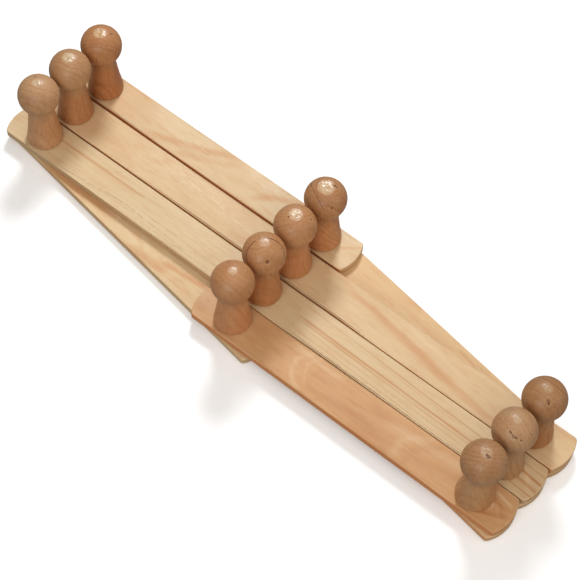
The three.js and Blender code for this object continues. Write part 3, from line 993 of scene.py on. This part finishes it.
PALE, LATE, FLAME = srgb("dcbc90"), srgb("b57f49"), srgb("cb935f")
BOARDS = {
    "front_slat_1": dict(
        light=srgb("d09e6c"), dark=srgb("a96d3c"), tint=srgb("b87c4b"), gain=(1.0, 1.0, 1.0),
        ring_c=(20.0, -50.0), ring_tilt=(0.02, 0.06), spacing=11.0, ring=0.18, warp=4.0, mottle=0.6, fibre=0.6, speck=0.9,
        arcs=((2.0, 30.0, 17.0, 3.4, 30.0, -0.30), (6.0, 24.0, 15.0, 2.2, 30.0, -0.2), (-6.0, -66.0, 22.0, 5.0, -62.0, -0.22), (-8.0, -72.0, 19.0, 4.5, -68.0, 0.3), (0.0, 22.0, 9.0, 4.0, 20.0, 0.25)),
        bands=((0.0, 140.0, 0.0, 78.0, 18.0, 18.0, -0.22), (11.0, -96.0, 1.0, -124.0, 4.0, 1.5, 1.0), (-11.0, -102.0, -1.0, -127.0, 1.5, 4.0, 1.0), (10.0, -108.0, 6.0, -126.0, 2.0, 2.0, -0.5), (0.0, -100.0, 0.0, -116.0, 3.0, 3.0, -0.45), (12.0, 60.0, 10.0, 10.0, 5.0, 2.0, -0.3), (4.0, -20.0, 10.0, -95.0, 7.0, 5.0, -0.25), (-10.0, 40.0, -4.0, -30.0, 5.0, 6.0, 0.35), (-6.0, -50.0, 2.0, -96.0, 4.0, 5.0, 0.35)),
    ),
    "front_slat_2": dict(
        wall_colour_and_gap_shade="b8946c",
        light=srgb("dcc094"), dark=srgb("b9793f"), tint=srgb("cf9c66"), gain=(0.94, 0.93, 0.94),
        ring_c=(90.0, -10.0), spacing=3.2, ring=0.0, warp=1.2, mottle=0.2, fibre=0.6, speck=0.8,
        lines=(
            (10.2, -26.0, 4.2, -204.0, 1.0, 0.52), (0.8, -26.0, -2.4, -204.0, 1.2, 0.74), (-1.6, -26.0, -5.2, -204.0, 1.0, 0.52),
            (-5.4, -36.0, -8.6, -204.0, 0.6, 0.35), (-9.8, -30.0, -11.6, -204.0, 0.6, 0.38), (7.0, -60.0, 1.8, -200.0, 0.5, 0.25),
            (4.2, -202.0, 1.0, -229.0, 1.6, 0.95), (-2.2, -198.0, -4.6, -229.0, 1.7, 0.95), (-7.6, -198.0, -9.4, -229.0, 1.0, 0.8), (9.0, -202.0, 7.4, -229.0, 0.8, 0.5),
            (4.8, 200.0, 5.2, 108.0, 1.2, 0.6), (9.8, 186.0, 9.0, 36.0, 0.5, 0.28), (6.8, 120.0, 6.0, 20.0, 0.5, 0.32), (1.2, 196.0, -0.6, 28.0, 0.5, 0.28), (-3.6, 186.0, -4.8, 26.0, 0.5, 0.26), (12.4, 160.0, 12.0, 60.0, 0.4, 0.22),
        ),
        dashes=(
            (-13.4, 180.0, -6.8, 116.0, 0.55, 0.75), (-6.8, 122.0, -10.4, 60.0, 0.55, 0.75), (-11.6, 156.0, -9.0, 96.0, 0.45, 0.5), (-4.2, 104.0, -6.2, 20.0, 0.4, 0.5),
            (-12.0, 110.0, -11.0, 24.0, 0.45, 0.6), (-8.6, 196.0, -9.6, 150.0, 0.4, 0.5), (-12.6, -24.0, -13.0, -196.0, 0.5, 0.6), (-7.4, -60.0, -8.4, -160.0, 0.35, 0.4),
        ),
        bands=((4.6, 228.0, 4.0, 196.0, 3.5, 3.5, 0.35), (5.0, 190.0, 4.0, 110.0, 4.0, 2.5, 0.5), (-1.0, -150.0, -3.0, -229.0, 5.0, 4.0, 0.3), (0.0, -24.0, -2.0, -120.0, 2.5, 2.0, 0.4)),
        flecks=((4.0, 70.0, 14.0, 70.0, 0.2),),
    ),
    "front_slat_3": dict(
        light=srgb("dcbd92"), dark=srgb("bd8550"), tint=srgb("c98e5b"), gain=(0.95, 0.93, 0.91),
        ring_c=(0.0, -50.0), ring_tilt=(0.01, -0.04), spacing=9.0, ring=0.10, warp=3.0, mottle=0.18, fibre=0.45, speck=0.2,
        # the last band, wide and darker orange round the top_2 peg, is painted shade of the top pegs
        bands=((13.0, -30.0, -5.0, -146.0, 8.0, 4.0, 0.72), (0.0, -104.0, -12.5, -206.0, 6.0, 3.4, 0.65), (13.0, -86.0, 3.0, -150.0, 4.0, 3.0, -0.25), (6.0, 60.0, 3.0, 10.0, 5.0, 2.0, 0.2), (1.0, 225.0, 0.0, 190.0, 8.0, 6.0, 0.25), (0.0, 250.0, 0.0, 130.0, 22.0, 22.0, 0.28)),
        lines=((11.0, 120.0, 5.0, 84.0, 0.4, 0.3), (8.0, 100.0, 1.0, 40.0, 0.35, 0.3), (-2.0, 150.0, -6.0, 80.0, 0.35, 0.2), (6.0, -30.0, 4.0, -80.0, 0.4, 0.25)),
        flecks=((6.0, 92.0, 7.0, 36.0, 0.5), (1.0, 66.0, 6.0, 40.0, 0.4), (2.0, 130.0, 12.0, 60.0, 0.2)),
    ),
    "front_slat_4": dict(
        light=srgb("debf94"), dark=srgb("bf8550"), tint=srgb("cd935f"), gain=(0.92, 0.93, 0.93),
        ring_c=(10.0, -40.0), ring_tilt=(0.04, 0.05), spacing=10.0, ring=0.10, warp=4.0, mottle=0.22, fibre=0.45, speck=0.2,
        # the last band, wide and darker orange round the top_3 peg, is painted shade of the top pegs
        bands=((-13.0, 60.0, 12.0, -20.0, 5.5, 4.0, 0.75), (-12.0, 30.0, 6.0, -22.0, 3.6, 4.4, 0.5), (-8.0, -38.0, 13.0, -80.0, 4.0, 4.0, 0.75), (12.0, 96.0, 10.5, 62.0, 3.0, 2.0, 0.6), (2.0, 70.0, 10.0, 30.0, 5.0, 4.0, -0.3), (-4.0, -112.0, 10.0, -128.0, 3.0, 3.0, 0.55), (0.0, 150.0, 0.0, 40.0, 22.0, 22.0, 0.42)),
        lines=((-10.0, 60.0, -2.0, 0.0, 0.4, 0.3), (-4.0, 40.0, 8.0, -10.0, 0.35, 0.3)),
        flecks=((8.0, -46.0, 6.0, 26.0, 0.6), (2.0, 10.0, 8.0, 40.0, 0.25), (10.0, -118.0, 6.0, 12.0, 0.4)),
    ),
    "back_slat_1": dict(
        wall_colour_and_gap_shade="c9a577",
        light=srgb("dcbc8f"), dark=srgb("bd8450"), tint=srgb("c6844c"), gain=(1.0, 1.03, 1.05),
        ring_c=(0.0, -50.0), ring_tilt=(0.02, 0.05), spacing=10.0, ring=0.10, warp=4.0, mottle=0.25, fibre=0.45, speck=0.2,
        # the second and third bands are painted shadow: the orange shade that front_slat_2 casts beside its edge,
        # towards the middle_1 end and towards the top_1 end
        bands=((-17.0, -2.0, -6.0, -44.0, 6.0, 7.0, 0.72), (-5.0, -28.0, 6.0, -74.0, 3.0, 5.0, 0.8), (-14.0, 96.0, -5.0, 10.0, 5.0, 5.0, 0.9)),
        flecks=((0.0, 0.0, 12.0, 60.0, 0.3),),
    ),
    "back_slat_2": dict(light=srgb("dcbd90"), dark=srgb("bb834c"), tint=srgb("ca925d"), ring_c=(50.0, -30.0), spacing=5.0, ring=0.18, speck=0.35, bands=((8.0, 150.0, -6.0, 40.0, 4.0, 3.0, 0.5), (-10.0, -30.0, 6.0, -150.0, 3.0, 5.0, 0.5))),
    "back_slat_3": dict(light=srgb("dabb8e"), dark=srgb("b9804a"), tint=srgb("c88f5a"), ring_c=(-30.0, -40.0), ring_tilt=(0.01, 0.03), spacing=7.0, ring=0.18, speck=0.3, bands=((-8.0, 170.0, 8.0, 60.0, 4.0, 4.0, 0.55), (6.0, -60.0, -8.0, -170.0, 5.0, 3.0, 0.5))),
    "back_slat_4": dict(
        light=srgb("dcbb8b"), dark=srgb("be8450"), tint=srgb("cb8f5c"), gain=(0.98, 0.97, 0.95),
        ring_c=(0.0, -50.0), ring_tilt=(0.0, 0.04), spacing=9.0, ring=0.10, warp=3.0, mottle=0.25, fibre=0.4, speck=0.15,
        bands=((-12.0, 46.0, 5.0, -20.0, 2.6, 2.4, 0.6), (9.0, -22.0, 8.0, -42.0, 1.6, 1.2, 0.8), (-10.0, -10.0, 4.0, -80.0, 4.0, 3.0, 0.35)),
    ),
}
for k, (body, ob) in enumerate(slats.items()):
    ob.data.materials.clear()
    ob.data.materials.append(slat_wood("wood_" + body, seed=k + 1, **BOARDS[body]))

# per peg: pits (azimuth, elevation, radius mm, depth mm), crown (flat radius, groove depth),
# how burnished the crown is with its painted highlight, how clear the growth layers are, colour gain, unevenness of
# crown, painted light and shade on the stem
PEGS = {
    "top_1": dict(pits=[(60, 65, 0.8, 0.25), (45, 68, 0.6, 0.2), (100, 73, 0.5, 0.2)], crown=(3.4, 0.05), crown_burnish_and_highlight=0.6, gain=(0.98, 1.10, 1.20), torn=0.06, stem=(1.18, 1.09, 1.04), whorl=0.1),
    "top_2": dict(pits=[(200, 85, 0.7, 0.3), (20, 84, 0.5, 0.25), (215, 77, 0.4, 0.2)], crown=(4.6, 0.06), crown_burnish_and_highlight=1.1, gain=(0.93, 1.0, 1.03), torn=0.12, stem=(1.02, 0.83, 0.72), whorl=0.2, off=12.0, spacing=2.4),
    "top_3": dict(pits=[(318, 56, 0.7, 0.3), (312, 61, 0.5, 0.25), (40, 80, 0.6, 0.3)], crown=(4.8, 0.08), crown_burnish_and_highlight=1.0, whorl=0.45, gain=(0.90, 0.82, 0.72), torn=0.12, stem=(1.0, 0.87, 0.79), off=26.0, spacing=2.2),
    "middle_1": dict(pits=[], crown=(3.2, 0.0), crown_burnish_and_highlight=0.5, gain=(0.96, 0.93, 0.88), torn=0.02, stem=(1.23, 1.13, 1.11), whorl=0.1),
    "middle_2": dict(pits=[(233, 37, 1.15, 0.6)], crown=(3.6, 0.03), crown_burnish_and_highlight=0.5, gain=(0.96, 0.94, 0.90), torn=0.04, stem=(1.03, 0.91, 0.81), line=((-0.45, -0.55, 0.70), 0.70 * 48.65 + 7.7, 0.40, 0.95, 50.0), whorl=0.15, off=14.0),
    "middle_3": dict(pits=[(152, 69, 0.65, 0.35), (240, 84, 0.6, 0.35), (300, 80, 0.5, 0.3), (304, 46, 1.1, 0.18), (20, 78, 0.5, 0.3)], crown=(4.8, 0.08), crown_burnish_and_highlight=1.1, gain=(0.97, 0.95, 0.92), torn=0.14, stem=(1.16, 1.03, 0.96), whorl=0.15, off=16.0, spacing=2.6),
    "middle_4": dict(pits=[(327, 65, 0.9, 0.45), (319, 60, 0.6, 0.35), (334, 70, 0.6, 0.35), (241, 30, 1.0, 0.22), (233, 36, 0.5, 0.2)], crown=(6.2, 0.07), crown_burnish_and_highlight=1.1, whorl=0.2, gain=(0.88, 0.85, 0.80), torn=0.14, stem=(1.24, 1.16, 1.12), off=14.0, spacing=2.6, line=((0.84, -0.40, 0.36), 0.36 * 48.65 - 3.6, 0.34, 0.85, 53.0)),
    "bottom_1": dict(tilt=(0.05, -0.04), pits=[(237, 79, 1.1, 0.28), (222, 84, 0.8, 0.28), (252, 76, 0.7, 0.26)], crown=(4.0, 0.09), crown_burnish_and_highlight=0.5, whorl=0.2, gain=(0.82, 0.86, 0.86), torn=0.08, stem=(1.24, 1.24, 1.22), off=17.0, spacing=2.6),
    "bottom_2": dict(pits=[(187, 55, 0.6, 0.3), (192, 54, 0.6, 0.3), (197, 52, 0.45, 0.28), (204, 49, 0.6, 0.32), (214, 46, 0.75, 0.35), (221, 43, 0.45, 0.3), (233, 39, 0.65, 0.32), (206, 43, 0.45, 0.28)], crown=(2.6, 0.02), crown_burnish_and_highlight=0.4, whorl=0.35, gain=(0.92, 1.04, 1.13), torn=0.03, stem=(1.0, 0.96, 0.92), off=11.0, spacing=2.3),
    "bottom_3": dict(pits=[(221, 59, 1.5, 0.17), (223, 53, 1.0, 0.22), (224, 50, 0.6, 0.32)], crown=(3.0, 0.05), crown_burnish_and_highlight=0.5, whorl=0.4, gain=(0.75, 0.74, 0.68), torn=0.05, stem=(1.14, 1.02, 0.92), off=12.0, spacing=2.6),
}
for k, (body, (_, names)) in enumerate(FRONT.items()):
    for j, n in enumerate(names):
        seed = k * 10 + j
        spec = PEGS[n]
        ob = peg("peg_" + n + "_turned", body, "peg_" + n, seed, spec["pits"], spec["crown"], spec["torn"])
        rng = np.random.default_rng(500 + seed)
        tilt = spec.get("tilt", (float(rng.uniform(-0.25, 0.25)), float(rng.uniform(-0.2, 0.2))))
        m = peg_wood(
            "wood_peg_" + n,
            seed,
            srgb("c08b5e"),
            srgb("965a30"),
            srgb("a9683a"),
            gain=tuple(0.92 * g for g in spec["gain"]),
            stem=spec["stem"],
            tilt=tilt,
            spacing=spec.get("spacing", float(rng.uniform(2.2, 3.6))),
            off=spec.get("off", float(rng.uniform(10.0, 36.0))),
            plane_line=spec.get("line"),
            crown_burnish_and_highlight=spec["crown_burnish_and_highlight"],
            whorl=spec.get("whorl", 0.0),
        )
        ob.data.materials.clear()
        ob.data.materials.append(m)

screw_mesh, washer_mesh = screw_template(), washer_template()
screw_mat = zinc("screw_zinc", 1, srgb("bdbab0"), srgb("a7a79f"))
washer_mat = zinc("washer_zinc", 2, srgb("c6c3b8"), srgb("b0aea4"))
for k, (body, (_, names)) in enumerate(FRONT.items()):
    for j, n in enumerate(names):
        t = 0.7 * (k * 3 + j)
        sc = placed("screw_" + n + "_wood_screw", screw_mesh, body, "screw_" + n, t)
        sc.data.materials.clear()
        sc.data.materials.append(screw_mat)
        wa = placed("washer_" + n + "_flat", washer_mesh, body, "washer_" + n, t)
        wa.data.materials.clear()
        wa.data.materials.append(washer_mat)

# ------------------------------------------------------------------ floor and light
fl = Net("floor")
fl.put(fl.bsdf.inputs["Base Color"], fl.mix(fl.noise(fl.coord, 3.0, 2.0), (0.94, 0.945, 0.95, 1), (0.96, 0.965, 0.97, 1)))
fl.bsdf.inputs["Roughness"].default_value = 0.85
fl.bsdf.inputs["Specular IOR Level"].default_value = 0.2
fl.bsdf.inputs["Emission Color"].default_value = (1.0, 1.0, 1.0, 1.0)
fl.bsdf.inputs["Emission Strength"].default_value = 0.16
me = bpy.data.meshes.new("floor")
me.from_pydata([(-4, -4, -0.0004), (4, -4, -0.0004), (4, 4, -0.0004), (-4, 4, -0.0004)], [], [(0, 1, 2, 3)])
floor = bpy.data.objects.new("floor", me)
scene.collection.objects.link(floor)
me.materials.append(fl.mat)
# the floor catches shadows but throws no light or reflection back on the wood
floor.visible_diffuse = False
floor.visible_glossy = False

world = bpy.data.worlds.new("world")
scene.world = world
world.use_nodes = True
bg = world.node_tree.nodes["Background"]
bg.inputs[0].default_value = (1.0, 0.94, 0.88, 1)
bg.inputs[1].default_value = 0.30


def area(name, direction, dist, size, power, colour=(1, 1, 1)):
    d = bpy.data.lights.new(name, "AREA")
    d.shape = "RECTANGLE"
    d.size, d.size_y = size
    d.energy = power
    d.color = colour
    o = bpy.data.objects.new(name, d)
    scene.collection.objects.link(o)
    v = Vector(direction).normalized()
    o.location = v * dist
    o.rotation_euler = (-v).to_track_quat("-Z", "Y").to_euler()
    return o


area("key", (0.50, 0.36, 0.73), 1.3, (0.30, 0.30), 10.5, (0.90, 0.96, 1.0))
area("fill_left", (-0.82, -0.27, 0.50), 1.7, (1.1, 0.7), 9.0, (1.0, 0.985, 0.97))
area("fill_right", (0.38, -1.03, 0.42), 1.7, (1.0, 0.7), 3.2, (1.0, 0.90, 0.80))
area("top", (-0.1, -0.30, 1.0), 1.6, (1.5, 1.5), 7.5, (1.0, 0.95, 0.90))

scene.view_settings.view_transform = "Standard"
scene.view_settings.look = "None"
